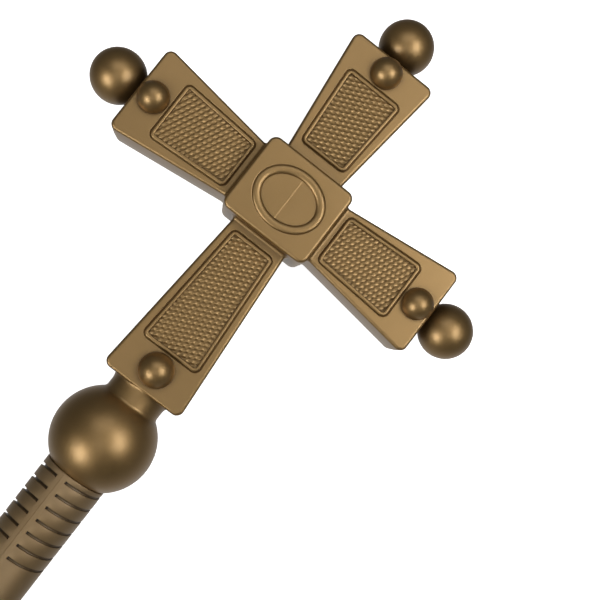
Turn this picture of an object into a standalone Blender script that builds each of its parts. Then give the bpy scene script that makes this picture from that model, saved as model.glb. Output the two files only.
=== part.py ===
"""A papal cross staff of moulded plastic with a satin bronze finish, lying on its back.

The cross head is one moulding: a block with an oval ring, four flared arms with
sunk panels and domes, three end balls, and a neck with a large ball. Its spigot
plugs into a pole of three tapered tubes, each plugged into the next.

The pieces are built along the staff's own axes: +X up the staff to the top of the
cross, +Z to the front, and the origin where the arms cross. An empty then lays the
staff down, front up, on a small flat under the large ball and one along the foot.
"""

from collections import namedtuple
from math import asin, atan2, cos, pi, radians, sin, sqrt, tan

import bmesh
import bpy
from mathutils import Matrix, Vector

# Driving sizes, in metres.
LENGTH = 1.400            # top of the upper end ball to the foot
HALF_DEPTH = 0.0146       # half of the arms' thickness
EDGE = 0.0015             # rounding along the arms' edges
ARM_CORNER = 0.0036       # rounding of the arms' corners, seen from the front
ARM_START = 0.0110        # where an arm begins, hidden inside the block

BLOCK_HALF_X = 0.01955
BLOCK_HALF_Y = 0.02285
BLOCK_FRONT = 0.0233
BLOCK_BACK = -0.0176
BLOCK_CORNER = 0.0040
BLOCK_EDGE = 0.0016

RING_HALF_X = 0.01225     # middle of the oval bead on the block
RING_HALF_Y = 0.01520
RING_HALF_WIDTH = 0.0017
RING_RISE = 0.0011
RING_CREST = 0.45         # width of the bead's flat top, as a share of its width
RING_FLOOR = 0.0004       # how far the face inside the ring is sunk

FRAME = 0.0021            # a panel's groove to its sunk floor
FRAME_CORNER = 0.0030
GROOVE_HALF_WIDTH = 0.00035
GROOVE_DEPTH = 0.0005
BEAD_RISE = 0.0003
BEAD_SLOPE = 0.0004
FLOOR_DEPTH = 0.0008
BACK_PANEL_DEPTH = 0.0006

END_BALL_RADIUS = 0.0131
END_BALL_BITE = 0.0006    # how far an end ball sinks into its arm

DOME_ROOT = 0.0023        # how far a dome goes on under the arm's face

NECK_RADIUS = 0.0138
NECK_FLARE = 0.0020       # how much wider the neck is to each side where it meets the arm
NECK_FLARE_LENGTH = 0.0040
BALL_RADIUS = 0.0244
BALL_AT = -0.1346
REST_FLAT = 0.0005        # depth of the flats that the staff lies on

RIM_RADIUS = 0.0152       # outside of a tube at its top
RIM_EDGE = 0.0004
FOOT_RADIUS = 0.0139      # outside of a tube at its lower end
SPIGOT_RADIUS = 0.0125    # plug below a tube's lower end, and below the large ball
CLEARANCE = 0.0003
MOUTH_DEPTH = 0.0012      # wider mouth of a socket, which takes the end of the tube above
SOCKET_DEPTH = 0.0240
SPIGOT_LENGTH = 0.0225
FOOT_EDGE = 0.0010
UPPER_RIM_AT = -0.1546
MIDDLE_RIM_AT = -0.5303
LOWER_RIM_AT = -0.9246

GROOVE_COUNT = 7
FIRST_GROOVE = 0.0031     # rim to the front end of the first groove
GROOVE_PITCH = 0.0067
POLE_GROOVE_HALF_WIDTH = 0.0007
POLE_GROOVE_DEPTH = 0.0012
POLE_GROOVE_SIDE = 0.0003    # deeper by this on the left, and shallower on the right
DROP_LEFT = 0.0026           # a groove falls by twice this from front to back on the left
RISE_RIGHT = 0.00075         # and rises by twice this on the right, like a thread
STRIP_HALF = radians(9)      # plain strips front and back that interrupt the grooves
STRIP_END = radians(2)
TUBE_TURN = radians(15)      # how far the upper and lower tubes' strips are from the front
MIDDLE_TURN = radians(-28)   # the same for the middle tube

HEAD_COLOUR = (0.30, 0.19, 0.085)
POLE_COLOUR = (0.25, 0.175, 0.10)

# Smoothness of the faceted forms.
ARM_STEPS = 3
BLOCK_STEPS = 7
DOME_SIDES = 18
DOME_STEPS = 4
BALL_SIDES = 18
BALL_STACKS = 10
LATHE_SIDES = 32
LATHE_STEPS = 16
FLARE_STEPS = 3
POLE_STEPS = 8
SHARP = radians(35)

# An arm runs along +X before its turn, in degrees, about the block. A stretch of it is
# (near end, half width there, far end, half width there).
Arm = namedtuple("Arm", "turn body panel dome_at dome_radius")
SIDE_BODY = (0.0229, 0.0149, 0.0832, 0.0226)
SIDE_PANEL = (0.0263, 0.0126, 0.0669, 0.0150)
ARMS = {
    "top_arm": Arm(0, (0.0196, 0.0152, 0.0820, 0.0226), (0.0257, 0.0123, 0.0663, 0.0150),
                   0.0743, 0.0075),
    "left_arm": Arm(90, SIDE_BODY, SIDE_PANEL, 0.0750, 0.0075),
    "foot_arm": Arm(180, (0.0196, 0.0145, 0.1062, 0.0211), (0.0240, 0.0113, 0.0860, 0.0153),
                    0.0949, 0.0083),
    "right_arm": Arm(270, SIDE_BODY, SIDE_PANEL, 0.0750, 0.0075),
}
BALL_ARMS = ("top_arm", "left_arm", "right_arm")


def clear_scene():
    """Remove whatever the open file holds."""
    for item in list(bpy.data.objects):
        bpy.data.objects.remove(item)


def satin(name, colour, roughness, metallic):
    """A Principled material for plastic with a metallic coat."""
    material = bpy.data.materials.new(name)
    material.use_nodes = True
    shader = material.node_tree.nodes["Principled BSDF"]
    shader.inputs["Base Color"].default_value = (*colour, 1)
    shader.inputs["Roughness"].default_value = roughness
    shader.inputs["Metallic"].default_value = metallic
    material.diffuse_color = (*colour, 1)
    return material


def inset(corners, distance):
    """The corners of a convex outline moved in by a distance from every side."""
    moved = []
    for i, corner in enumerate(corners):
        to_last = (corners[i - 1] - corner).normalized()
        to_next = (corners[(i + 1) % len(corners)] - corner).normalized()
        half_angle = to_last.angle(to_next) / 2
        moved.append(corner + (to_last + to_next).normalized() * distance / sin(half_angle))
    return moved


def rounded(corners, radius, steps):
    """A convex outline, counterclockwise, with an arc at each corner."""
    outline = []
    for i, corner in enumerate(corners):
        to_last = (corners[i - 1] - corner).normalized()
        to_next = (corners[(i + 1) % len(corners)] - corner).normalized()
        half_angle = to_last.angle(to_next) / 2
        centre = corner + (to_last + to_next).normalized() * radius / sin(half_angle)
        start = corner + to_last * radius / tan(half_angle) - centre
        first = atan2(start.y, start.x)
        sweep = pi - 2 * half_angle
        for k in range(steps + 1):
            angle = first + sweep * k / steps
            outline.append(centre + Vector((cos(angle), sin(angle))) * radius)
    return outline


def ring_at(outline, z):
    """An outline raised to a height."""
    return [(point.x, point.y, z) for point in outline]


def loft(rings):
    """One closed body that runs through rings of equal length, capped at both ends."""
    bm = bmesh.new()
    loops = [[bm.verts.new(point) for point in ring] for ring in rings]
    for near, far in zip(loops, loops[1:]):
        for k in range(len(near)):
            bm.faces.new((near[k - 1], near[k], far[k], far[k - 1]))
    bm.faces.new(loops[0])
    bm.faces.new(loops[-1])
    bmesh.ops.recalc_face_normals(bm, faces=bm.faces)
    mesh = bpy.data.meshes.new("loft")
    bm.to_mesh(mesh)
    bm.free()
    return mesh


def add(name, mesh, material, parent):
    """An object of smooth faces with crisp edges."""
    mesh.name = name
    mesh.materials.append(material)
    mesh.shade_smooth()
    mesh.set_sharp_from_angle(angle=SHARP)
    item = bpy.data.objects.new(name, mesh)
    item.parent = parent
    bpy.context.scene.collection.objects.link(item)
    return item


def combine(target, tool, operation):
    """Join a guide object to the target, or cut it from the target."""
    tool.hide_render = True
    tool.display_type = "WIRE"
    modifier = target.modifiers.new(tool.name, "BOOLEAN")
    modifier.object = tool
    modifier.operation = operation
    modifier.solver = "EXACT"


def reach_of(arm):
    """How far an arm's end is from the crossing."""
    return arm.body[2]


def trapezoid(near, near_half, far, far_half, start=None):
    """The corners of a stretch of an arm, counterclockwise, perhaps begun nearer in."""
    if start is not None:
        near_half += (far_half - near_half) * (start - near) / (far - near)
        near = start
    return [Vector((near, -near_half)), Vector((far, -far_half)),
            Vector((far, far_half)), Vector((near, near_half))]


def arm_mesh(arm):
    """An arm along +X: the sunk and framed panel, the edges, and a plain sunk back."""
    body = trapezoid(*arm.body, start=ARM_START)
    panel = trapezoid(*arm.panel)
    front = HALF_DEPTH
    soft = EDGE * (1 - sqrt(0.5))

    def body_ring(step_in, z):
        return ring_at(rounded(inset(body, step_in), ARM_CORNER - step_in, ARM_STEPS), z)

    def panel_ring(step_in, z):
        return ring_at(rounded(inset(panel, step_in), FRAME_CORNER - step_in, ARM_STEPS), z)

    return loft([
        panel_ring(FRAME, front - FLOOR_DEPTH),
        panel_ring(FRAME - BEAD_SLOPE, front + BEAD_RISE),
        panel_ring(GROOVE_HALF_WIDTH + BEAD_SLOPE, front + BEAD_RISE),
        panel_ring(0, front - GROOVE_DEPTH),
        panel_ring(-GROOVE_HALF_WIDTH, front),
        body_ring(EDGE, front),
        body_ring(soft, front - soft),
        body_ring(0, front - EDGE),
        body_ring(0, EDGE - front),
        body_ring(soft, soft - front),
        body_ring(EDGE, -front),
        panel_ring(0, -front),
        panel_ring(BACK_PANEL_DEPTH, BACK_PANEL_DEPTH - front),
    ])


def dome_mesh(arm):
    """A half ball on an arm's face, with a root inside the arm."""
    rings = []
    turns = [2 * pi * k / DOME_SIDES for k in range(DOME_SIDES)]
    for step in range(-1, DOME_STEPS):
        rise = pi / 2 * max(step, 0) / DOME_STEPS
        z = HALF_DEPTH + (arm.dome_radius * sin(rise) if step >= 0 else -DOME_ROOT)
        radius = arm.dome_radius * cos(rise)
        rings.append([(arm.dome_at + radius * cos(a), radius * sin(a), z) for a in turns])
    mesh = loft(rings)
    bm = bmesh.new()
    bm.from_mesh(mesh)
    cap = max(bm.faces, key=lambda face: face.calc_center_median().z)
    crown = bmesh.ops.poke(bm, faces=[cap])["verts"][0]
    crown.co.z = HALF_DEPTH + arm.dome_radius
    bm.to_mesh(mesh)
    bm.free()
    return mesh


def ball_mesh(arm):
    """The ball on the end of an arm."""
    bm = bmesh.new()
    bmesh.ops.create_uvsphere(bm, u_segments=BALL_SIDES, v_segments=BALL_STACKS,
                              radius=END_BALL_RADIUS)
    reach = reach_of(arm) + END_BALL_RADIUS - END_BALL_BITE
    bmesh.ops.translate(bm, verts=bm.verts, vec=(reach, 0, 0))
    mesh = bpy.data.meshes.new("ball")
    bm.to_mesh(mesh)
    bm.free()
    return mesh


def oval(offset, z):
    """A ring of the block's oval bead, at an offset from the middle of the bead."""
    count = 4 * (BLOCK_STEPS + 1)
    points = []
    for k in range(count):
        angle = -3 * pi / 4 + 2 * pi * (k - BLOCK_STEPS / 2) / count
        across = Vector((RING_HALF_X * cos(angle), RING_HALF_Y * sin(angle)))
        normal = Vector((RING_HALF_Y * cos(angle), RING_HALF_X * sin(angle))).normalized()
        point = across + normal * offset
        points.append((point.x, point.y, z))
    return points


def block_mesh():
    """The raised block between the arms, with the oval bead on its face."""
    corners = [Vector((x * BLOCK_HALF_X, y * BLOCK_HALF_Y))
               for x, y in ((-1, -1), (1, -1), (1, 1), (-1, 1))]
    soft = BLOCK_EDGE * (1 - sqrt(0.5))
    crest = RING_HALF_WIDTH * RING_CREST

    def block_ring(step_in, z):
        outline = rounded(inset(corners, step_in), BLOCK_CORNER - step_in, BLOCK_STEPS)
        return ring_at(outline, z)

    return loft([
        block_ring(BLOCK_EDGE, BLOCK_BACK),
        block_ring(soft, BLOCK_BACK + soft),
        block_ring(0, BLOCK_BACK + BLOCK_EDGE),
        block_ring(0, BLOCK_FRONT - BLOCK_EDGE),
        block_ring(soft, BLOCK_FRONT - soft),
        block_ring(BLOCK_EDGE, BLOCK_FRONT),
        oval(RING_HALF_WIDTH, BLOCK_FRONT),
        oval(crest, BLOCK_FRONT + RING_RISE),
        oval(-crest, BLOCK_FRONT + RING_RISE),
        oval(-RING_HALF_WIDTH, BLOCK_FRONT - RING_FLOOR),
    ])


def neck_mesh():
    """The neck, which widens to the sides under its arm, the large ball and its spigot."""
    arm_end = -reach_of(ARMS["foot_arm"])
    profile = [(arm_end + ARM_CORNER, NECK_FLARE, NECK_RADIUS)]
    for k in range(FLARE_STEPS + 1):
        angle = pi / 2 * k / FLARE_STEPS
        x = arm_end - NECK_FLARE_LENGTH * (1 - cos(angle))
        profile.append((x, NECK_FLARE * (1 - sin(angle)), NECK_RADIUS))
    start = asin(NECK_RADIUS / BALL_RADIUS)
    end = pi - asin(SPIGOT_RADIUS / BALL_RADIUS)
    for k in range(LATHE_STEPS + 1):
        angle = start + (end - start) * k / LATHE_STEPS
        profile.append((BALL_AT + BALL_RADIUS * cos(angle), 0, BALL_RADIUS * sin(angle)))
    profile.append((UPPER_RIM_AT - SPIGOT_LENGTH, 0, SPIGOT_RADIUS))
    turns = [2 * pi * k / LATHE_SIDES for k in range(LATHE_SIDES)]
    return loft([[(x, (r + flare) * sin(a), r * cos(a)) for a in turns]
                 for x, flare, r in profile])


def cross_head(material, staff):
    """The whole head as one moulding."""
    head = add("cross_head", block_mesh(), material, staff)
    for name, arm in ARMS.items():
        parts = [("dome", dome_mesh(arm))]
        if name in BALL_ARMS:
            parts.append(("ball", ball_mesh(arm)))
        parts.append(("body", arm_mesh(arm)))
        for suffix, mesh in parts:
            mesh.transform(Matrix.Rotation(radians(arm.turn), 4, "Z"))
            combine(head, add(f"{name}_{suffix}", mesh, material, staff), "UNION")
    combine(head, add("neck_and_ball", neck_mesh(), material, staff), "UNION")
    return head


def pole_angles():
    """Turns about a tube from the middle of its front strip, close at the strips' ends."""
    start = STRIP_HALF + STRIP_END
    side = [STRIP_HALF]
    side += [start + (pi - 2 * start) * k / POLE_STEPS for k in range(POLE_STEPS + 1)]
    side.append(pi - STRIP_HALF)
    return side + [pi + angle for angle in side]


def in_strip(angle):
    """Whether an angle lies in the plain strip front or back."""
    from_strip = angle % pi
    return min(from_strip, pi - from_strip) < STRIP_HALF + STRIP_END / 2


def slant(angle):
    """How far a groove has moved up the tube at an angle from the front strip."""
    return (1 - cos(angle)) * (RISE_RIGHT if angle > pi else -DROP_LEFT)


def pole_mesh(rim_at, end_at, strip_turn, has_spigot):
    """A tapered tube: its socket, rim, grooves, and spigot or foot."""
    angles = pole_angles()

    def ring(x, radius, is_groove=False):
        points = []
        for angle in angles:
            cut = POLE_GROOVE_DEPTH + POLE_GROOVE_SIDE * sin(angle)
            here = radius - cut if is_groove and not in_strip(angle) else radius
            turn = angle + strip_turn
            points.append((x, here * sin(turn), here * cos(turn)))
        return points

    def slanted(x, is_groove):
        points = ring(x, outside(x), is_groove)
        return [(px + slant(angle), y, z) for (px, y, z), angle in zip(points, angles)]

    def outside(x):
        return RIM_RADIUS + (FOOT_RADIUS - RIM_RADIUS) * (rim_at - x) / (rim_at - end_at)

    bore = SPIGOT_RADIUS + CLEARANCE
    mouth = FOOT_RADIUS + CLEARANCE
    rings = [ring(rim_at - SOCKET_DEPTH, bore), ring(rim_at - MOUTH_DEPTH, bore),
             ring(rim_at - MOUTH_DEPTH, mouth), ring(rim_at, mouth),
             ring(rim_at, RIM_RADIUS - RIM_EDGE), ring(rim_at - RIM_EDGE, RIM_RADIUS)]
    for k in range(GROOVE_COUNT):
        middle = rim_at - FIRST_GROOVE - GROOVE_PITCH * k
        for step, is_groove in ((1, False), (0, True), (-1, False)):
            rings.append(slanted(middle + step * POLE_GROOVE_HALF_WIDTH, is_groove))
    if has_spigot:
        shoulder = end_at - MOUTH_DEPTH + CLEARANCE
        rings += [ring(shoulder, FOOT_RADIUS), ring(shoulder, SPIGOT_RADIUS),
                  ring(end_at - SPIGOT_LENGTH, SPIGOT_RADIUS)]
    else:
        rings += [ring(end_at + FOOT_EDGE, FOOT_RADIUS), ring(end_at, FOOT_RADIUS - FOOT_EDGE)]
    return loft(rings)


def lay_down(staff, top_at, foot_at):
    """Lay the staff on its two flats, with the middle of its box over the origin."""
    rise = (BALL_RADIUS - FOOT_RADIUS) / (BALL_AT - foot_at)
    tilt = asin(rise)
    top = top_at * cos(tilt)
    foot = foot_at * cos(tilt) - (FOOT_RADIUS - FOOT_EDGE) * sin(tilt)
    staff.rotation_euler = (0, -tilt, 0)
    staff.location = (-(top + foot) / 2, 0, BALL_RADIUS - REST_FLAT - BALL_AT * rise)


def ground(material):
    """A guide block whose top is the plane that the staff lies on."""
    depth = BALL_RADIUS
    bm = bmesh.new()
    bmesh.ops.create_cube(bm, size=1)
    bmesh.ops.scale(bm, vec=(LENGTH * 2, LENGTH, depth), verts=bm.verts)
    bmesh.ops.translate(bm, vec=(0, 0, -depth / 2), verts=bm.verts)
    mesh = bpy.data.meshes.new("ground")
    bm.to_mesh(mesh)
    bm.free()
    return add("ground", mesh, material, None)


def main():
    """Build the staff."""
    clear_scene()
    head_bronze = satin("head_bronze", HEAD_COLOUR, 0.42, 0.85)
    pole_bronze = satin("pole_bronze", POLE_COLOUR, 0.50, 0.75)

    staff = bpy.data.objects.new("staff", None)
    bpy.context.scene.collection.objects.link(staff)
    top_at = reach_of(ARMS["top_arm"]) + 2 * END_BALL_RADIUS - END_BALL_BITE
    foot_at = top_at - LENGTH
    lay_down(staff, top_at, foot_at)

    head = cross_head(head_bronze, staff)
    add("upper_pole", pole_mesh(UPPER_RIM_AT, MIDDLE_RIM_AT, TUBE_TURN, True),
        pole_bronze, staff)
    add("middle_pole", pole_mesh(MIDDLE_RIM_AT, LOWER_RIM_AT, MIDDLE_TURN, True),
        pole_bronze, staff)
    foot = add("lower_pole", pole_mesh(LOWER_RIM_AT, foot_at, TUBE_TURN, False),
               pole_bronze, staff)
    floor = ground(head_bronze)
    for item in (head, foot):
        combine(item, floor, "DIFFERENCE")


main()
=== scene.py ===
"""Looks of the papal cross staff: a detailed head and tubes in satin bronze plastic.

Everything is modelled along the staff's own axes, +X up the staff and +Z to the front,
with the origin where the arms cross, and is then laid down as the CAD staff lies.
Sizes are in metres.
"""

from collections import namedtuple
from math import asin, cos, pi, radians, sin

import bpy
import numpy as np
from mathutils import Matrix, Vector


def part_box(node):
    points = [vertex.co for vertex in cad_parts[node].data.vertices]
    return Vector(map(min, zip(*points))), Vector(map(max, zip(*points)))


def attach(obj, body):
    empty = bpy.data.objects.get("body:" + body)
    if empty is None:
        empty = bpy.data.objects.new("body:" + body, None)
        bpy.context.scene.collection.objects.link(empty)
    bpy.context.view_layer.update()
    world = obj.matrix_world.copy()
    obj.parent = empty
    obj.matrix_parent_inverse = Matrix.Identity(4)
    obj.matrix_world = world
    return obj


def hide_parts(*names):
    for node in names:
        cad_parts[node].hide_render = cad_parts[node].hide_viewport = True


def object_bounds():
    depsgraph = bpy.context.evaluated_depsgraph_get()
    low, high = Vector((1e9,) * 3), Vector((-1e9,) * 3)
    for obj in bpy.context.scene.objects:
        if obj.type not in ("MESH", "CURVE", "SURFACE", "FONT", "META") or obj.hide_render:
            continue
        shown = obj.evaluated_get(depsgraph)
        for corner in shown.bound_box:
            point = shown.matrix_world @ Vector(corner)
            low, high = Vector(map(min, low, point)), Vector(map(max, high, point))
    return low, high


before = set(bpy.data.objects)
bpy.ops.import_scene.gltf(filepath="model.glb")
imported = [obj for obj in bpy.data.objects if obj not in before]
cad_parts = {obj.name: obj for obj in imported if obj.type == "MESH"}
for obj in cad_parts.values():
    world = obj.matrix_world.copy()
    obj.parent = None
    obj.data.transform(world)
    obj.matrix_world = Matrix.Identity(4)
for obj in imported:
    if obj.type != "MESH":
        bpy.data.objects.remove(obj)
cad_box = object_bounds()

# The cross head.
HALF_DEPTH = 0.0146       # half of the arms' thickness
DRAFT = 0.00022           # how much wider the arms are at their middle plane
DRAFT_BAND = 0.0006       # half of the width of that widest band
DRAFT_SHARE = 0.95        # share of the draft at the band's edges
EDGE = 0.0015             # radius of the arms' edges
ARM_CORNER = 0.0036       # radius of the arms' corners, from the front
ARM_START = 0.0155        # where an arm begins, inside the block
BLOCK_HALF_X = 0.01955
BLOCK_HALF_Y = 0.02285
BLOCK_FRONT = 0.0233
BLOCK_BACK = -0.0176
BLOCK_CORNER = 0.0040
BLOCK_EDGE = 0.0016
FILLET = 0.0018           # hollow where an arm runs into the block
FILLET_OVERLAP = 0.00003  # how far a fillet's rim lies under the arm's skin
RING_HALF_X = 0.01225
RING_HALF_Y = 0.01520
RING_HALF_WIDTH = 0.0020
RING_RISE = 0.0011
RING_FLOOR = 0.0004       # depth of the floor inside the ring, below the block's face
RING_FOOT = 0.0001        # depth of the line round the ring, below the block's face
RING_START = -3 * pi / 4  # turn of the ring's first point, towards the block's first corner
BALL_RADIUS = 0.0244
BALL_AT = -0.1346
REST_FLAT = 0.0005        # how deep the large ball's rest flat is cut
NECK_RADIUS = 0.0138
NECK_FLARE_SIDE = 0.0020
NECK_FLARE_FRONT = 0.0003
NECK_FLARE_LENGTH = 0.0040
BALL_FILLET = 0.0025      # hollow where the neck runs into the large ball
END_BALL_RADIUS = 0.0131
END_BALL_BITE = 0.0006    # how far an end ball sinks into its arm
DOME_ROOT = 0.0005        # how far a dome goes on under the arm's face

# Fine raised lines on the floor inside the ring: (place across, near end, far end, height).
LINES = ((0.0001, -0.0104, 0.0106, 0.00010), (0.0022, -0.0060, 0.0040, 0.00003),
         (0.0040, -0.0075, 0.0015, 0.00003), (0.0058, -0.0010, 0.0065, 0.00003),
         (-0.0034, -0.0050, 0.0030, 0.00003))
LINE_HALF_WIDTH = 0.00025
LINE_LOW = 0.00002        # height of a line's right edge
LINE_ROOT = 0.0004        # how far a line goes on under the floor

# A panel's frame, by distance in from the middle of its groove.
GROOVE_HALF_WIDTH = 0.00035
GROOVE_DEPTH = 0.00050
# Down the groove's inner wall and up its outer one, in shares of the half width and depth.
GROOVE_SECTION = ((0.55, 0.85), (0, 1), (-0.55, 0.75), (-1, 0.15))
BEAD_MIDDLE = 0.00115
BEAD_HALF_WIDTH = 0.00080
BEAD_RISE = 0.00042
BEAD_INNER_FOOT = 0.00002  # how far below the arm's face the bead begins
BEAD_OUTER_FOOT = 0.00004  # and ends
FRAME = 0.0021            # width of the whole frame
FRAME_CORNER = 0.0030
FLOOR_CORNER = 0.0004
FLOOR_DEPTH = 0.0008      # middle height of the woven relief, below the arm's face
FLOOR_DRAFT = 0.00012     # how much a frame's inner wall leans
WALL_TOP = 0.00035        # that wall's upper end, below the arm's face
WELL_DEPTH = 0.0015       # bottom of the panel's hollow, under the woven mat
BACK_PANEL_DEPTH = 0.0006

# The woven relief of a panel's floor: slanting cords with a knot in every cell.
WEAVE_ALONG = 0.00236     # between cords, along the arm
WEAVE_ACROSS = 0.00250    # between knots, across the arm
WEAVE_CORD = 0.000185
WEAVE_KNOT = 0.000150
WEAVE_THREAD = 0.000060   # fine ribs straight across the arm, two for each cord
CORD_PLACES = (-0.5, -0.44, -0.33, -0.17, 0, 0.17, 0.33, 0.44)  # grid lines across a cord
KNOT_PLACES = 8           # and for each knot along it
MAT_MARGIN = 0.0004       # how far the woven mat goes on under the frame
MAT_BACK = 0.0020         # its underside, below the arm's face

# The tubes.
RIM_RADIUS = 0.0152
RIM_EDGE = 0.0004
FOOT_RADIUS = 0.0139
SPIGOT_RADIUS = 0.0125
CLEARANCE = 0.0003
MOUTH_DEPTH = 0.0012      # depth of a socket's wider mouth
SOCKET_DEPTH = 0.0240
SPIGOT_LENGTH = 0.0225
FOOT_EDGE = 0.0010
GROOVE_COUNT = 7
FIRST_GROOVE = 0.0031
GROOVE_PITCH = 0.0067
POLE_GROOVE_HALF_WIDTH = 0.00066
POLE_GROOVE_DEPTH = 0.00120
POLE_GROOVE_SIDE = 0.00030   # deeper by this on the left, and shallower on the right
POLE_GROOVE_FRONT = 0.00020  # deeper by this at the front
DROP_LEFT = 0.0026        # a groove falls by twice this from front to back on the left
RISE_RIGHT = 0.00075      # and rises by twice this on the right, like a thread
# A groove's wall from its lip to its floor, in shares of its half width and its depth.
POLE_GROOVE_WALL = ((1.25, 0), (1.08, 0.03), (1.0, 0.12), (0.96, 0.95), (0.85, 1))
STRIP_HALF = radians(9)   # half of the turn that a plain strip takes up
STRIP_END = radians(1.0)  # turn in which a groove fades out beside it
SEAM_HALF = radians(0.6)
SEAM_RISE = 0.00010
# Each tube's piece, its CAD node and the turn of its front strip in degrees.
TUBES = (("upper_tube", "upper_pole", 15), ("middle_tube", "middle_pole", -28),
         ("lower_tube", "lower_pole", 15))

# Fineness of the meshes.
ARC_CELLS = 8             # steps in each half of a corner's arc
PANEL_STEPS = 28          # steps along each side of an arm or panel, arcs and all
BLOCK_STEPS = 32          # the same for the block
EDGE_STEPS = 5
BLOCK_EDGE_STEPS = 6
RIM_STEPS = 3
BEAD_STEPS = 8
RING_STEPS = 10
FILLET_STEPS = 8
BALL_FILLET_STEPS = 6
FLARE_STEPS = 8
SUPPORT = 0.00012         # a loop this far from a curve keeps the flat beside it flat
BALL_SIDES = 72
MAIN_BALL_SIDES = 112
DOME_SIDES = 64
TUBE_SIDES = 120
LINE_GAP = 1.5 * STRIP_END  # an even line this near to one of a strip's own is left out
SHARP = radians(48)       # a steeper fold than this stays sharp

# body and panel are (near end, half width there, far end, half width there). weave is the
# side that the cords lean to.
Arm = namedtuple("Arm", "turn body panel dome_at dome_radius weave")
SIDE_BODY = (0.0229, 0.0149, 0.0832, 0.0226)
SIDE_PANEL = (0.0263, 0.0126, 0.0669, 0.0150)
ARMS = {
    "top_arm": Arm(0, (0.0196, 0.0152, 0.0820, 0.0226), (0.0257, 0.0123, 0.0663, 0.0150),
                   0.0743, 0.0075, -1),
    "left_arm": Arm(90, SIDE_BODY, SIDE_PANEL, 0.0750, 0.0075, 1),
    "foot_arm": Arm(180, (0.0196, 0.0145, 0.1062, 0.0211), (0.0240, 0.0113, 0.0860, 0.0153),
                    0.0949, 0.0083, -1),
    "right_arm": Arm(270, SIDE_BODY, SIDE_PANEL, 0.0750, 0.0075, 1),
}
BALL_ARMS = ("top_arm", "left_arm", "right_arm")


# ---------------------------------------------------------------- placing

def lie_down():
    """The transform from the staff's own axes to where the CAD staff lies."""
    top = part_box("cross_head")[1].x
    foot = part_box("lower_pole")[0].x
    top_at = ARMS["top_arm"].body[2] + 2 * END_BALL_RADIUS - END_BALL_BITE
    rise = (BALL_RADIUS - FOOT_RADIUS) / (BALL_AT - top_at + (top - foot))
    tilt = asin(rise)
    place = Vector((top - top_at * cos(tilt), 0, BALL_RADIUS - REST_FLAT - BALL_AT * rise))
    return Matrix.Translation(place) @ Matrix.Rotation(-tilt, 4, "Y")


LAY = lie_down()


def along_staff(x):
    """Where a place on the world's X axis is along the staff."""
    return (x - LAY.translation.x) / LAY[0][0]


# ---------------------------------------------------------------- outlines

def inset(corners, distance):
    """The corners of a convex outline moved in by a distance from every side."""
    moved = []
    for i, corner in enumerate(corners):
        to_last = (corners[i - 1] - corner).normalized()
        to_next = (corners[(i + 1) % len(corners)] - corner).normalized()
        half_angle = to_last.angle(to_next) / 2
        moved.append(corner + (to_last + to_next).normalized() * distance / sin(half_angle))
    return moved


def arcs(corners, radius):
    """The (centre, first angle, sweep) of the arc at each corner."""
    found = []
    for i, corner in enumerate(corners):
        to_last = (corners[i - 1] - corner).normalized()
        to_next = (corners[(i + 1) % len(corners)] - corner).normalized()
        half_angle = to_last.angle(to_next) / 2
        centre = corner + (to_last + to_next).normalized() * radius / sin(half_angle)
        start = -(to_last + to_next).normalized()
        sweep = pi - 2 * half_angle
        found.append((centre, np.arctan2(start.y, start.x) - sweep / 2, sweep))
    return found


def framed(corners, radius, counts):
    """Points of a rounded outline that begin in the middle of the first corner's arc.

    counts are the steps from the middle of one corner to the middle of the next.
    """
    curves = arcs(corners, radius)

    def on_arc(which, share):
        centre, first, sweep = curves[which % len(curves)]
        angle = first + sweep * share
        return centre + Vector((cos(angle), sin(angle))) * radius

    points = []
    for side, count in enumerate(counts):
        start, end = on_arc(side, 1), on_arc(side + 1, 0)
        straight = count - 2 * ARC_CELLS
        for k in range(count):
            if k < ARC_CELLS:
                points.append(on_arc(side, 0.5 + 0.5 * k / ARC_CELLS))
            elif k <= count - ARC_CELLS:
                points.append(start.lerp(end, (k - ARC_CELLS) / straight))
            else:
                points.append(on_arc(side + 1, 0.5 * (k - count + ARC_CELLS) / ARC_CELLS))
    return points


def trapezoid(near, near_half, far, far_half, start=None):
    """The corners of a stretch of an arm, counterclockwise, perhaps begun nearer in."""
    if start is not None:
        near_half += (far_half - near_half) * (start - near) / (far - near)
        near = start
    return [Vector((near, -near_half)), Vector((far, -far_half)),
            Vector((far, far_half)), Vector((near, near_half))]


def quarter(steps):
    """Pairs (in, down) of a quarter round of radius 1, from its top to its side."""
    return [(1 - sin(pi / 2 * k / steps), 1 - cos(pi / 2 * k / steps)) for k in range(steps + 1)]


# ---------------------------------------------------------------- meshes

def mesh_of(points, faces):
    """A mesh with its faces pointing out, from points that run counterclockwise."""
    mesh = bpy.data.meshes.new("form")
    mesh.from_pydata([tuple(point) for point in points], [], faces)
    mesh.update()
    return mesh


def bands(count, rings, first=0):
    """Quads between successive rings of equal length, whose points begin at first."""
    faces = []
    for ring in range(rings - 1):
        low = first + ring * count
        for k in range(count):
            after = (k + 1) % count
            faces.append((low + k, low + after, low + count + after, low + count + k))
    return faces


def loft(rings):
    """One closed body through rings of equal length that run down or inward."""
    count = len(rings[0])
    points = [point for ring in rings for point in ring]
    faces = bands(count, len(rings))
    faces = [tuple(reversed(face)) for face in faces]
    faces.append(tuple(range(count)))
    faces.append(tuple(reversed(range(len(points) - count, len(points)))))
    return mesh_of(points, faces)


def raised(outline, z):
    """An outline at a height."""
    return [(point.x, point.y, z) for point in outline]


# ---------------------------------------------------------------- the cross head

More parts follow.
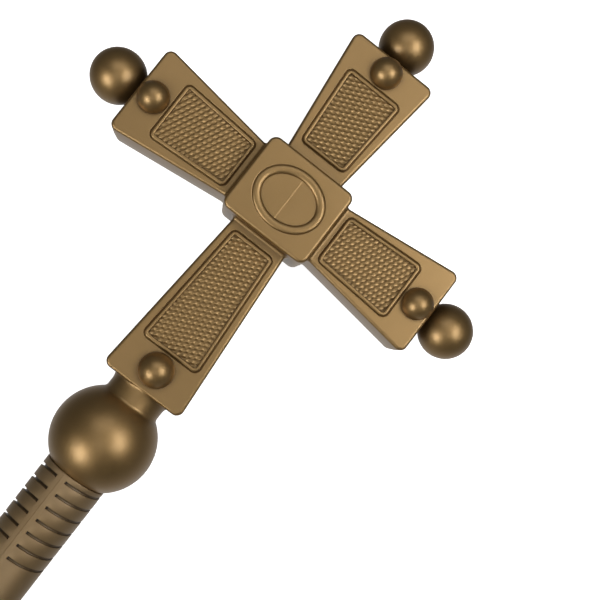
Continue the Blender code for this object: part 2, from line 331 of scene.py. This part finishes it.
def weave(cord, knot, thread):
    """Height of the woven relief at a phase of its cords, its knots and its fine ribs."""
    crest = (1 + np.cos(2 * pi * cord)) / 2
    return (WEAVE_CORD * (2 * np.abs(np.cos(pi * cord)) - 1)
            + WEAVE_KNOT * crest * np.cos(2 * pi * knot)
            + WEAVE_THREAD * np.cos(2 * pi * thread))


def mat_mesh(arm):
    """A woven mat larger than an arm's panel, with its grid laid along its cords."""
    near, near_half, far, far_half = arm.panel
    slant = arm.weave * WEAVE_ALONG / WEAVE_ACROSS / 2
    half = max(near_half, far_half)
    first = int((near - abs(slant) * half) / WEAVE_ALONG) - 1
    last = int((far + abs(slant) * half) / WEAVE_ALONG) + 2
    side = int(half / WEAVE_ACROSS) + 1
    cords = np.array([k + place for k in range(first, last) for place in CORD_PLACES])
    knots = np.arange(-side * KNOT_PLACES, side * KNOT_PLACES + 1) / KNOT_PLACES
    cord, knot = np.meshgrid(cords, knots, indexing="ij")
    y = knot * WEAVE_ACROSS
    x = cord * WEAVE_ALONG + slant * y
    top = HALF_DEPTH - FLOOR_DEPTH + weave(cord, knot, 2 * x / WEAVE_ALONG)
    return slab(x, y, top, HALF_DEPTH - MAT_BACK)


def slab(x, y, top, bottom):
    """A closed body with a grid of points on top and a flat underside."""
    rows, columns = x.shape
    number = np.arange(x.size).reshape(x.shape)
    edge = np.concatenate([number[:-1, 0], number[-1, :-1], number[:0:-1, -1], number[0, :0:-1]])
    points = np.stack([x, y, top], axis=-1).reshape(-1, 3)
    under = points[edge]
    under[:, 2] = bottom
    faces = [(number[i, j], number[i + 1, j], number[i + 1, j + 1], number[i, j + 1])
             for i in range(rows - 1) for j in range(columns - 1)]
    count = len(edge)
    for k in range(count):
        after = (k + 1) % count
        faces.append((edge[after], edge[k], x.size + k, x.size + after))
    faces.append(tuple(range(x.size + count - 1, x.size - 1, -1)))
    return mesh_of(np.concatenate([points, under]), whole(faces))


def whole(faces):
    """Faces with plain numbers for their corners."""
    return [tuple(int(corner) for corner in face) for face in faces]


def panel_block(arm):
    """The shape that a woven mat is cut to: a panel's floor and a margin under its frame."""
    corners = inset(trapezoid(*arm.panel), FRAME - MAT_MARGIN)
    return loft([raised(corners, HALF_DEPTH), raised(corners, HALF_DEPTH - 2 * MAT_BACK)])


def frame_profile():
    """(distance in, height over the face) across a panel's frame, from its floor out."""
    profile = [(FRAME, -WELL_DEPTH), (FRAME - FLOOR_DRAFT, -WALL_TOP),
               (BEAD_MIDDLE + BEAD_HALF_WIDTH, -BEAD_INNER_FOOT)]
    for k in range(1, BEAD_STEPS):
        angle = pi * k / BEAD_STEPS
        profile.append((BEAD_MIDDLE + BEAD_HALF_WIDTH * cos(angle), BEAD_RISE * sin(angle)))
    profile.append((GROOVE_HALF_WIDTH, -BEAD_OUTER_FOOT))
    profile += [(GROOVE_HALF_WIDTH * across, -GROOVE_DEPTH * down)
                for across, down in GROOVE_SECTION]
    profile += [(-GROOVE_HALF_WIDTH - SUPPORT * k, 0) for k in (1, 2)]
    return profile


def arm_mesh(arm):
    """An arm along +X: a sunk panel, its frame, rounded edges, drafted sides, a plain back."""
    body = trapezoid(*arm.body, start=ARM_START)
    panel = trapezoid(*arm.panel)
    counts = (PANEL_STEPS,) * 4
    front = HALF_DEPTH

    def panel_ring(step_in, z):
        radius = max(FRAME_CORNER - step_in, FLOOR_CORNER)
        return raised(framed(inset(panel, step_in), radius, counts), z)

    def body_ring(step_in, z):
        return raised(framed(inset(body, step_in), ARM_CORNER - step_in, counts), z)

    rings = [panel_ring(step_in, front + rise) for step_in, rise in frame_profile()]
    rings.append(body_ring(EDGE + SUPPORT, front))
    rings += [body_ring(EDGE * step, front - EDGE * drop) for step, drop in quarter(EDGE_STEPS)]
    rings.append(body_ring(-DRAFT * DRAFT_SHARE, DRAFT_BAND))
    rings.append(body_ring(-DRAFT, 0))
    rings.append(body_ring(-DRAFT * DRAFT_SHARE, -DRAFT_BAND))
    rings += [body_ring(EDGE * step, EDGE * drop - front)
              for step, drop in reversed(quarter(EDGE_STEPS))]
    rings.append(body_ring(EDGE + SUPPORT, -front))
    rings.append(panel_ring(-SUPPORT, -front))
    rings.append(panel_ring(0, -front))
    rings.append(panel_ring(BACK_PANEL_DEPTH, BACK_PANEL_DEPTH - front))
    return loft(rings)


def fillet_mesh(arm):
    """A hollow skirt all round an arm where it runs into the block."""
    wall, wall_half, far, far_half = arm.body
    rings = [(wall - FILLET, FILLET)]
    for k in range(FILLET_STEPS + 1):
        angle = pi / 2 * k / FILLET_STEPS
        rings.append((wall + FILLET * (1 - cos(angle)), FILLET * (1 - sin(angle))))
    rings[-1] = (rings[-1][0], -FILLET_OVERLAP)
    built = []
    for x, flare in rings:
        half = wall_half + (far_half - wall_half) * (x - wall) / (far - wall)
        side = half + flare
        depth = HALF_DEPTH + flare
        corners = [Vector((-side, -depth)), Vector((side, -depth)),
                   Vector((side, depth)), Vector((-side, depth))]
        count = 4 * ARC_CELLS
        outline = framed(corners, EDGE + max(flare, 0), (count,) * 4)
        built.append([(x, point.x, point.y) for point in outline])
    return loft(built[::-1])


def dome_mesh(arm):
    """A half ball on an arm's face, with a root inside the arm."""
    steps = DOME_SIDES // 4
    rings = []
    for k in range(1, steps):
        angle = pi / 2 * k / steps
        rings.append((arm.dome_radius * sin(angle), arm.dome_radius * cos(angle)))
    rings.append((arm.dome_radius, -DOME_ROOT))
    turns = [2 * pi * k / DOME_SIDES for k in range(DOME_SIDES)]
    built = [[(arm.dome_at + r * cos(a), r * sin(a), HALF_DEPTH + z) for a in turns]
             for r, z in rings]
    return crowned(built, (arm.dome_at, 0, HALF_DEPTH + arm.dome_radius))


def crowned(rings, crown):
    """A body whose first ring closes on a point, and whose last ring is capped."""
    count = len(rings[0])
    points = [crown] + [point for ring in rings for point in ring]
    faces = [(0, 1 + k, 1 + (k + 1) % count) for k in range(count)]
    faces += [tuple(reversed(face)) for face in bands(count, len(rings), 1)]
    faces.append(tuple(reversed(range(len(points) - count, len(points)))))
    return mesh_of(points, faces)


def ball_mesh(arm):
    """The ball on the end of an arm."""
    centre = arm.body[2] + END_BALL_RADIUS - END_BALL_BITE
    steps = BALL_SIDES // 2
    turns = [2 * pi * k / BALL_SIDES for k in range(BALL_SIDES)]
    rings = []
    for k in range(1, steps):
        angle = pi * k / steps
        r, x = END_BALL_RADIUS * sin(angle), centre + END_BALL_RADIUS * cos(angle)
        rings.append([(x, -r * sin(a), r * cos(a)) for a in turns])
    count = BALL_SIDES
    points = [(centre + END_BALL_RADIUS, 0, 0)]
    points += [point for ring in rings for point in ring]
    points.append((centre - END_BALL_RADIUS, 0, 0))
    last = len(points) - 1
    faces = [(0, 1 + k, 1 + (k + 1) % count) for k in range(count)]
    faces += [tuple(reversed(face)) for face in bands(count, len(rings), 1)]
    faces += [(last, last - count + (k + 1) % count, last - count + k) for k in range(count)]
    return mesh_of(points, faces)


def oval(offset, z, count):
    """A ring of the block's oval bead, at an offset from the middle of the bead."""
    points = []
    for k in range(count):
        angle = RING_START + 2 * pi * k / count
        place = Vector((RING_HALF_X * cos(angle), RING_HALF_Y * sin(angle)))
        normal = Vector((RING_HALF_Y * cos(angle), RING_HALF_X * sin(angle))).normalized()
        point = place + normal * offset
        points.append((point.x, point.y, z))
    return points


def block_mesh():
    """The raised block between the arms, with the oval bead on its face."""
    counts = (BLOCK_STEPS,) * 4
    count = sum(counts)
    corners = [Vector((x * BLOCK_HALF_X, y * BLOCK_HALF_Y))
               for x, y in ((-1, -1), (1, -1), (1, 1), (-1, 1))]

    def block_ring(step_in, z):
        outline = framed(inset(corners, step_in), BLOCK_CORNER - step_in, counts)
        return raised(outline, z)

    width, top = RING_HALF_WIDTH, BLOCK_FRONT
    rings = [oval(-width - 2 * SUPPORT, top - RING_FLOOR, count),
             oval(-width - SUPPORT, top - RING_FLOOR, count)]
    for k in range(RING_STEPS + 1):
        angle = pi * k / RING_STEPS
        foot = -RING_FLOOR * (1 - k / RING_STEPS)
        rings.append(oval(-width * cos(angle), top + foot + RING_RISE * sin(angle), count))
    rings.append(oval(width + SUPPORT, top - RING_FOOT, count))
    rings.append(oval(width + 3 * SUPPORT, top, count))
    rings.append(oval(width + 4 * SUPPORT, top, count))
    rings.append(block_ring(BLOCK_EDGE + SUPPORT, top))
    rings += [block_ring(BLOCK_EDGE * step, top - BLOCK_EDGE * drop)
              for step, drop in quarter(BLOCK_EDGE_STEPS)]
    rings += [block_ring(BLOCK_EDGE * step, BLOCK_BACK + BLOCK_EDGE * drop)
              for step, drop in reversed(quarter(BLOCK_EDGE_STEPS))]
    rings.append(block_ring(BLOCK_EDGE + SUPPORT, BLOCK_BACK))
    return loft(rings)


def line_mesh(across, near, far, rise):
    """A fine raised line along the staff, on the floor inside the ring."""
    floor = BLOCK_FRONT - RING_FLOOR
    right, left = across - LINE_HALF_WIDTH, across + LINE_HALF_WIDTH
    section = ((right, floor - LINE_ROOT), (left, floor - LINE_ROOT),
               (left, floor + rise), (right, floor + LINE_LOW))
    return loft([[(x, y, z) for y, z in section] for x in (far, near)])


def neck_mesh(rim_at):
    """The neck, which widens to the sides under the arm, the large ball and its spigot."""
    arm_end = -ARMS["foot_arm"].body[2]
    profile = [(arm_end + ARM_CORNER, 1, NECK_RADIUS)]
    for flare, along in quarter(FLARE_STEPS):
        profile.append((arm_end - NECK_FLARE_LENGTH * along, flare, NECK_RADIUS))
    hollow = NECK_RADIUS + BALL_FILLET
    start = asin(hollow / (BALL_RADIUS + BALL_FILLET))
    hollow_at = BALL_AT + (BALL_RADIUS + BALL_FILLET) * cos(start)
    for k in range(BALL_FILLET_STEPS):
        angle = (pi / 2 - start) * k / BALL_FILLET_STEPS
        profile.append((hollow_at - BALL_FILLET * sin(angle), 0,
                        hollow - BALL_FILLET * cos(angle)))
    end = pi - asin(SPIGOT_RADIUS / BALL_RADIUS)
    count = MAIN_BALL_SIDES // 2
    for k in range(count + 1):
        angle = start + (end - start) * k / count
        profile.append((BALL_AT + BALL_RADIUS * cos(angle), 0, BALL_RADIUS * sin(angle)))
    profile.append((rim_at - SPIGOT_LENGTH, 0, SPIGOT_RADIUS))
    turns = [2 * pi * k / MAIN_BALL_SIDES for k in range(MAIN_BALL_SIDES)]
    rings = []
    for x, flare, radius in profile:
        side, front = radius + flare * NECK_FLARE_SIDE, radius + flare * NECK_FLARE_FRONT
        rings.append([(x, -side * sin(turn), front * cos(turn)) for turn in turns])
    return loft(rings)


# ---------------------------------------------------------------- the tubes

def tube_angles():
    """Turns about a tube from the middle of its front strip, close where they matter."""
    fine = [0, SEAM_HALF / 2, SEAM_HALF, SEAM_HALF * 2, STRIP_HALF - STRIP_END, STRIP_HALF,
            STRIP_HALF + STRIP_END, STRIP_HALF + 2 * STRIP_END]
    fine += [pi - angle for angle in fine]
    even = [2 * pi * k / TUBE_SIDES for k in range(TUBE_SIDES // 2)]
    keep = [angle for angle in even if min(abs(angle - mark) for mark in fine) > LINE_GAP]
    half = sorted(set(round(angle, 6) for angle in fine + keep))
    half = half[:-1]  # the last is pi, where the other half begins
    return half + [pi + angle for angle in half]


def from_strips(angles):
    """How far each turn is from the middle of the nearest strip, front or back."""
    return np.minimum(angles % pi, pi - angles % pi)


def grooved_share(angles):
    """1 in the grooved stretches and 0 in the plain strips."""
    return np.clip((from_strips(angles) - STRIP_HALF) / STRIP_END, 0, 1)


def seam(angles):
    """Height of the fine mould line that runs down each strip."""
    return SEAM_RISE * np.clip(1 - from_strips(angles) / SEAM_HALF, 0, 1)


def slants(angles):
    """How far a groove has moved up the tube at each turn, evened out in the back strip."""
    right = np.clip((angles - pi + STRIP_HALF) / (2 * STRIP_HALF), 0, 1)
    return (1 - np.cos(angles)) * (RISE_RIGHT * right - DROP_LEFT * (1 - right))


def groove_profile():
    """(distance from the middle, share of the depth) across a groove."""
    upper = [(POLE_GROOVE_HALF_WIDTH * along, cut) for along, cut in POLE_GROOVE_WALL]
    return upper + [(-along, cut) for along, cut in upper[::-1]]


def tube_mesh(rim_at, end_at, strip_turn, has_spigot):
    """A tapered tube: its socket, rim, grooves, and spigot or foot."""
    angles = np.array(tube_angles())
    depth = (POLE_GROOVE_DEPTH + POLE_GROOVE_SIDE * np.sin(angles)
             + POLE_GROOVE_FRONT * np.cos(angles)) * grooved_share(angles)
    line = seam(angles)
    slant = slants(angles)

    def ring(x, radius, cut=0.0, lean=0.0, mark=0.0):
        radii = radius - cut * depth + line * mark
        turns = angles + strip_turn
        return np.stack([x + slant * lean, radii * np.sin(turns), radii * np.cos(turns)], axis=1)

    def outside(x):
        return RIM_RADIUS + (FOOT_RADIUS - RIM_RADIUS) * (rim_at - x) / (rim_at - end_at)

    bore = SPIGOT_RADIUS + CLEARANCE
    mouth = FOOT_RADIUS + CLEARANCE
    rings = [ring(rim_at - SOCKET_DEPTH, bore), ring(rim_at - MOUTH_DEPTH, bore),
             ring(rim_at - MOUTH_DEPTH, mouth), ring(rim_at - RIM_EDGE, mouth),
             ring(rim_at, mouth + RIM_EDGE)]
    for step, drop in quarter(RIM_STEPS):
        rings.append(ring(rim_at - RIM_EDGE * drop, RIM_RADIUS - RIM_EDGE * step))
    rings.append(ring(rim_at - RIM_EDGE - SUPPORT, RIM_RADIUS, mark=1))
    for k in range(GROOVE_COUNT):
        middle = rim_at - FIRST_GROOVE - GROOVE_PITCH * k
        for step, cut in groove_profile():
            x = middle + step
            rings.append(ring(x, outside(x), cut, lean=1, mark=1))
    if has_spigot:
        shoulder = end_at - MOUTH_DEPTH + CLEARANCE
        rings += [ring(shoulder, FOOT_RADIUS, mark=1), ring(shoulder, SPIGOT_RADIUS),
                  ring(end_at - SPIGOT_LENGTH, SPIGOT_RADIUS)]
    else:
        rings.append(ring(end_at + FOOT_EDGE + SUPPORT, FOOT_RADIUS, mark=1))
        for step, drop in reversed(quarter(EDGE_STEPS)):
            rings.append(ring(end_at + FOOT_EDGE * drop, FOOT_RADIUS - FOOT_EDGE * step))
        rings.append(ring(end_at, FOOT_RADIUS - FOOT_EDGE - SUPPORT))
    return loft([[tuple(point) for point in ring_points[::-1]] for ring_points in rings])


# ---------------------------------------------------------------- making pieces

def put(name, mesh):
    """An object for a mesh, in the scene."""
    mesh.name = name
    item = bpy.data.objects.new(name, mesh)
    bpy.context.scene.collection.objects.link(item)
    return item


def combined(target, tools, operation):
    """The mesh of the target with the tools joined to it or cut from it; all are removed."""
    for tool in tools:
        modifier = target.modifiers.new(tool.name, "BOOLEAN")
        modifier.object = tool
        modifier.operation = operation
        modifier.solver = "MANIFOLD"
    evaluated = target.evaluated_get(bpy.context.evaluated_depsgraph_get())
    mesh = bpy.data.meshes.new_from_object(evaluated)
    for item in (target, *tools):
        bpy.data.objects.remove(item)
    return mesh


def finished(name, mesh, material, node):
    """A piece of the staff that stands for its CAD node."""
    mesh.transform(LAY)
    item = put(name, mesh)
    ground = put("ground_cut", ground_mesh())
    mesh = combined(item, [ground], "DIFFERENCE")
    mesh.materials.clear()
    mesh.materials.append(material)
    mesh.shade_smooth()
    mesh.set_sharp_from_angle(angle=SHARP)
    piece = put(name, mesh)
    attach(piece, "root")
    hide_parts(node)
    return piece


def ground_mesh():
    """A block under the plane that the staff lies on, past it all round, to cut its rest flats."""
    low = cad_box[0]
    x, y, z = low.x * 1.5, low.y * 2, -BALL_RADIUS
    points = [(side * x, way * y, height) for height in (0, z)
              for side, way in ((1, 1), (-1, 1), (-1, -1), (1, -1))]
    faces = [(0, 1, 2, 3), (7, 6, 5, 4), (0, 4, 5, 1), (1, 5, 6, 2), (2, 6, 7, 3), (3, 7, 4, 0)]
    return mesh_of(points, faces)


def build_head(material, rim_at):
    """The whole cross head as one moulding."""
    tools = [put("neck_and_ball", neck_mesh(rim_at))]
    tools += [put("line", line_mesh(*line)) for line in LINES]
    for name, arm in ARMS.items():
        forms = [("body", arm_mesh(arm)), ("fillet", fillet_mesh(arm)), ("dome", dome_mesh(arm))]
        if name in BALL_ARMS:
            forms.append(("ball", ball_mesh(arm)))
        mat = put("whole_mat", mat_mesh(arm))
        forms.append(("mat", combined(mat, [put("cut", panel_block(arm))], "INTERSECT")))
        for suffix, mesh in forms:
            mesh.transform(Matrix.Rotation(radians(arm.turn), 4, "Z"))
            tools.append(put(f"{name}_{suffix}", mesh))
    mesh = combined(put("block", block_mesh()), tools, "UNION")
    return finished("cross_casting", mesh, material, "cross_head")


# ---------------------------------------------------------------- materials

# Noise over the object's own coordinates: (scale, detail).
CLOUDS = (38, 3)          # of colour
PATCHES = (240, 4)        # of roughness
GRAIN = (1400, 2)         # of height
ROUGHNESS_CHANGE = 0.05   # either way, in the patches
GRAIN_STRENGTH = 0.12
GRAIN_HEIGHT = 0.0002
OPEN_IN_HOLLOW = 0.40     # how open a place is to its surroundings where the painted shade is darkest
OPEN_ON_FACE = 0.90       # and where there is no painted shade, so the colour is full
HOLLOW_SAMPLES = 8
COAT = 0.5
COAT_ROUGHNESS = 0.35

# A bronze paint: its two colours, its roughness, and for the painted shade in hollows and beside
# walls the share of the colour that is left and the distance over which a wall counts.
Bronze = namedtuple("Bronze", "dark light roughness metallic hollow_share hollow_reach")
# The head's long reach paints shade over the arms beside the raised block; the pole's paints its
# grooves almost black.
HEAD_BRONZE = Bronze((0.27, 0.165, 0.057), (0.33, 0.202, 0.074), 0.44, 0.90, 0.50, 0.0120)
POLE_BRONZE = Bronze((0.26, 0.165, 0.068), (0.36, 0.252, 0.135), 0.56, 0.85, 0.06, 0.0014)
FLOOR_WHITE = 0.86


def nodes_of(name):
    """A new material, its node tree and its Principled shader."""
    material = bpy.data.materials.new(name)
    material.use_nodes = True
    tree = material.node_tree
    return material, tree, tree.nodes["Principled BSDF"]


def noise(tree, place, form):
    """The output of a noise over a place's coordinates."""
    node = tree.nodes.new("ShaderNodeTexNoise")
    node.inputs["Scale"].default_value, node.inputs["Detail"].default_value = form
    tree.links.new(place, node.inputs["Vector"])
    return node.outputs["Fac"]


def colour_mix(tree):
    """A node that mixes two colours."""
    node = tree.nodes.new("ShaderNodeMix")
    node.data_type = "RGBA"
    return node


def bronze(name, paint):
    """Satin bronze paint on plastic: cloudy colour, painted shade darkening its hollows, a fine
    grain.
    """
    material, tree, shader = nodes_of(name)
    new, link = tree.nodes.new, tree.links.new
    place = new("ShaderNodeTexCoord").outputs["Object"]

    tone = colour_mix(tree)
    tone.inputs["A"].default_value = (*paint.dark, 1)
    tone.inputs["B"].default_value = (*paint.light, 1)
    link(noise(tree, place, CLOUDS), tone.inputs["Factor"])

    # Painted shade: the colour is multiplied down where ambient occlusion finds walls close by, in
    # hollows, grooves and beside the block.
    hollow = new("ShaderNodeAmbientOcclusion")
    hollow.only_local = True
    hollow.samples = HOLLOW_SAMPLES
    hollow.inputs["Distance"].default_value = paint.hollow_reach
    share = new("ShaderNodeMapRange")
    share.inputs["From Min"].default_value = OPEN_IN_HOLLOW
    share.inputs["From Max"].default_value = OPEN_ON_FACE
    share.inputs["To Min"].default_value = paint.hollow_share
    painted_shade_tone = colour_mix(tree)
    painted_shade_tone.blend_type = "MULTIPLY"
    painted_shade_tone.inputs["Factor"].default_value = 1
    link(hollow.outputs["AO"], share.inputs["Value"])
    link(tone.outputs["Result"], painted_shade_tone.inputs["A"])
    link(share.outputs["Result"], painted_shade_tone.inputs["B"])
    link(painted_shade_tone.outputs["Result"], shader.inputs["Base Color"])

    gloss = new("ShaderNodeMapRange")
    gloss.inputs["To Min"].default_value = paint.roughness - ROUGHNESS_CHANGE
    gloss.inputs["To Max"].default_value = paint.roughness + ROUGHNESS_CHANGE
    link(noise(tree, place, PATCHES), gloss.inputs["Value"])
    link(gloss.outputs["Result"], shader.inputs["Roughness"])

    bump = new("ShaderNodeBump")
    bump.inputs["Strength"].default_value = GRAIN_STRENGTH
    bump.inputs["Distance"].default_value = GRAIN_HEIGHT
    link(noise(tree, place, GRAIN), bump.inputs["Height"])
    link(bump.outputs["Normal"], shader.inputs["Normal"])

    shader.inputs["Metallic"].default_value = paint.metallic
    shader.inputs["Coat Weight"].default_value = COAT
    shader.inputs["Coat Roughness"].default_value = COAT_ROUGHNESS
    return material


def white_floor():
    """A plain pale floor."""
    material, _, shader = nodes_of("pale_floor")
    shader.inputs["Base Color"].default_value = (FLOOR_WHITE, FLOOR_WHITE, FLOOR_WHITE, 1)
    shader.inputs["Roughness"].default_value = 0.9
    shader.inputs["Specular IOR Level"].default_value = 0.0
    shader.inputs["Emission Color"].default_value = (1, 1, 1, 1)
    shader.inputs["Emission Strength"].default_value = 1.0
    return material


# ---------------------------------------------------------------- stage, light and camera

PICTURE_RIGHT = Vector((0.609, -0.793, 0))
PICTURE_UP = Vector((0.793, 0.609, 0))
CROSSING = LAY @ Vector((0, 0, 0))
FLOOR_HALF = 30
SKY_LEAN = 0.35           # how far the pale low part of the world leans to the picture's foot
# The world's glow on the staff, from straight below it to straight above it.
SKY = ((0.0, 0.60), (0.10, 0.55), (0.25, 0.28), (0.45, 0.07), (1.0, 0.07))
LIGHT_DISTANCE = 0.9
# A light round the head: its turn from the picture's right and its climb, the (right, up) of
# what it is aimed at, its size, the spread of its beam, and its power.
SoftBox = namedtuple("SoftBox", "turn climb target width height spread power")
SOFT_BOXES = {
    "right_box": SoftBox(-10, 56, (0.0, 0.06), 0.34, 0.62, 100, 1.35),
    "left_box": SoftBox(206, 39, (0.15, 0.15), 0.32, 0.58, 50, 0.52),
    "top_box": SoftBox(85, 61, (0.0, 0.0), 0.80, 0.50, 180, 1.6),
    "low_box": SoftBox(232, 76, (-0.07, -0.09), 0.50, 0.40, 80, 0.11),
}
TUBE_BOX_AT = Vector((-0.86, -0.35, 0.75))
TUBE_BOX_TARGET = Vector((-0.86, 0, 0))
TUBE_BOX_FORM = (0.30, 0.86, 44, 0.45)  # width, height, spread, power
CAMERA_LENS = 59.93
CAMERA_AT = Vector((-0.066, 0, 0.46))
CAMERA_TARGET = Vector((-0.0302, -0.0325, 0))


def build_floor():
    """The floor that the staff lies on. Only the camera sees it."""
    half = FLOOR_HALF
    mesh = mesh_of([(-half, -half, 0), (half, -half, 0), (half, half, 0), (-half, half, 0)],
                   [(0, 1, 2, 3)])
    mesh.materials.append(white_floor())
    floor = put("floor", mesh)
    floor.visible_glossy = False
    floor.visible_diffuse = False


def build_world():
    """White to the camera; to the staff, a dim room that is pale below."""
    world = bpy.data.worlds.new("studio")
    world.use_nodes = True
    bpy.context.scene.world = world
    tree = world.node_tree
    new, link = tree.nodes.new, tree.links.new
    place = new("ShaderNodeTexCoord")
    lean = new("ShaderNodeVectorMath")
    lean.operation = "DOT_PRODUCT"
    lean.inputs[1].default_value = (Vector((0, 0, 1)) + PICTURE_UP * SKY_LEAN).normalized()
    ramp = new("ShaderNodeValToRGB")
    height = new("ShaderNodeMapRange")
    height.inputs["From Min"].default_value = -1
    link(place.outputs["Generated"], lean.inputs[0])
    link(lean.outputs["Value"], height.inputs["Value"])
    link(height.outputs["Result"], ramp.inputs["Fac"])
    stops = ramp.color_ramp.elements  # two to begin with, at 0 and 1
    for position, _ in SKY[1:-1]:
        stops.new(position)
    for stop, (_, glow) in zip(stops, SKY):
        stop.color = (glow, glow, glow, 1)
    path = new("ShaderNodeLightPath")
    mix = colour_mix(tree)
    mix.inputs["B"].default_value = (1, 1, 1, 1)
    link(path.outputs["Is Camera Ray"], mix.inputs["Factor"])
    link(ramp.outputs["Color"], mix.inputs["A"])
    link(mix.outputs["Result"], tree.nodes["Background"].inputs["Color"])


def in_picture(right, up, height=0):
    """A place by its distances right, up and above the crossing, as the picture shows them."""
    return CROSSING + PICTURE_RIGHT * right + PICTURE_UP * up + Vector((0, 0, height))


def soft_light(name, place, target, up, width, height, spread, power):
    """A rectangular soft light at a place, aimed at a target."""
    light = bpy.data.lights.new(name, "AREA")
    light.shape = "RECTANGLE"
    light.size, light.size_y = width, height
    light.spread = radians(spread)
    light.energy = power
    item = bpy.data.objects.new(name, light)
    aim(item, place, target, up)
    bpy.context.scene.collection.objects.link(item)


def soft_box(name, box):
    """A soft light round the head."""
    turn, climb = radians(box.turn), radians(box.climb)
    out = LIGHT_DISTANCE * cos(climb)
    place = in_picture(out * cos(turn), out * sin(turn), LIGHT_DISTANCE * sin(climb))
    soft_light(name, place, in_picture(*box.target), PICTURE_UP,
               box.width, box.height, box.spread, box.power)


def aim(item, place, target, up):
    """Put an object at a place, looking at a target, with its top towards up."""
    back = (place - target).normalized()
    right = up.cross(back).normalized()
    turn = Matrix((right, back.cross(right), back)).transposed().to_4x4()
    item.matrix_world = Matrix.Translation(place) @ turn


def build_lights():
    """Soft boxes left, right, over the top and low in the picture, and one along the tubes."""
    for name, box in SOFT_BOXES.items():
        soft_box(name, box)
    soft_light("tube_box", LAY @ TUBE_BOX_AT, LAY @ TUBE_BOX_TARGET, Vector((1, 0, 0)),
               *TUBE_BOX_FORM)


def build_camera():
    """A near camera over the foot arm, looking at the head."""
    camera = bpy.data.cameras.new("camera")
    camera.lens = CAMERA_LENS
    camera.clip_start = 0.01
    item = bpy.data.objects.new("camera", camera)
    bpy.context.scene.collection.objects.link(item)
    aim(item, LAY @ CAMERA_AT, LAY @ CAMERA_TARGET, PICTURE_UP)
    bpy.context.scene.camera = item


def main():
    """Build the pieces, the stage and the light."""
    head_bronze = bronze("satin_bronze", HEAD_BRONZE)
    pole_bronze = bronze("satin_bronze_pole", POLE_BRONZE)
    ends = [along_staff(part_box(node)[1].x) for _, node, _ in TUBES]
    ends.append(along_staff(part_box("lower_pole")[0].x))
    build_head(head_bronze, ends[0])
    for (name, node, turn), upper, lower in zip(TUBES, ends, ends[1:]):
        mesh = tube_mesh(upper, lower, radians(turn), has_spigot=node != "lower_pole")
        finished(name, mesh, pole_bronze, node)
    build_floor()
    build_world()
    build_lights()
    build_camera()
    bpy.context.scene.view_settings.view_transform = "Standard"


main()
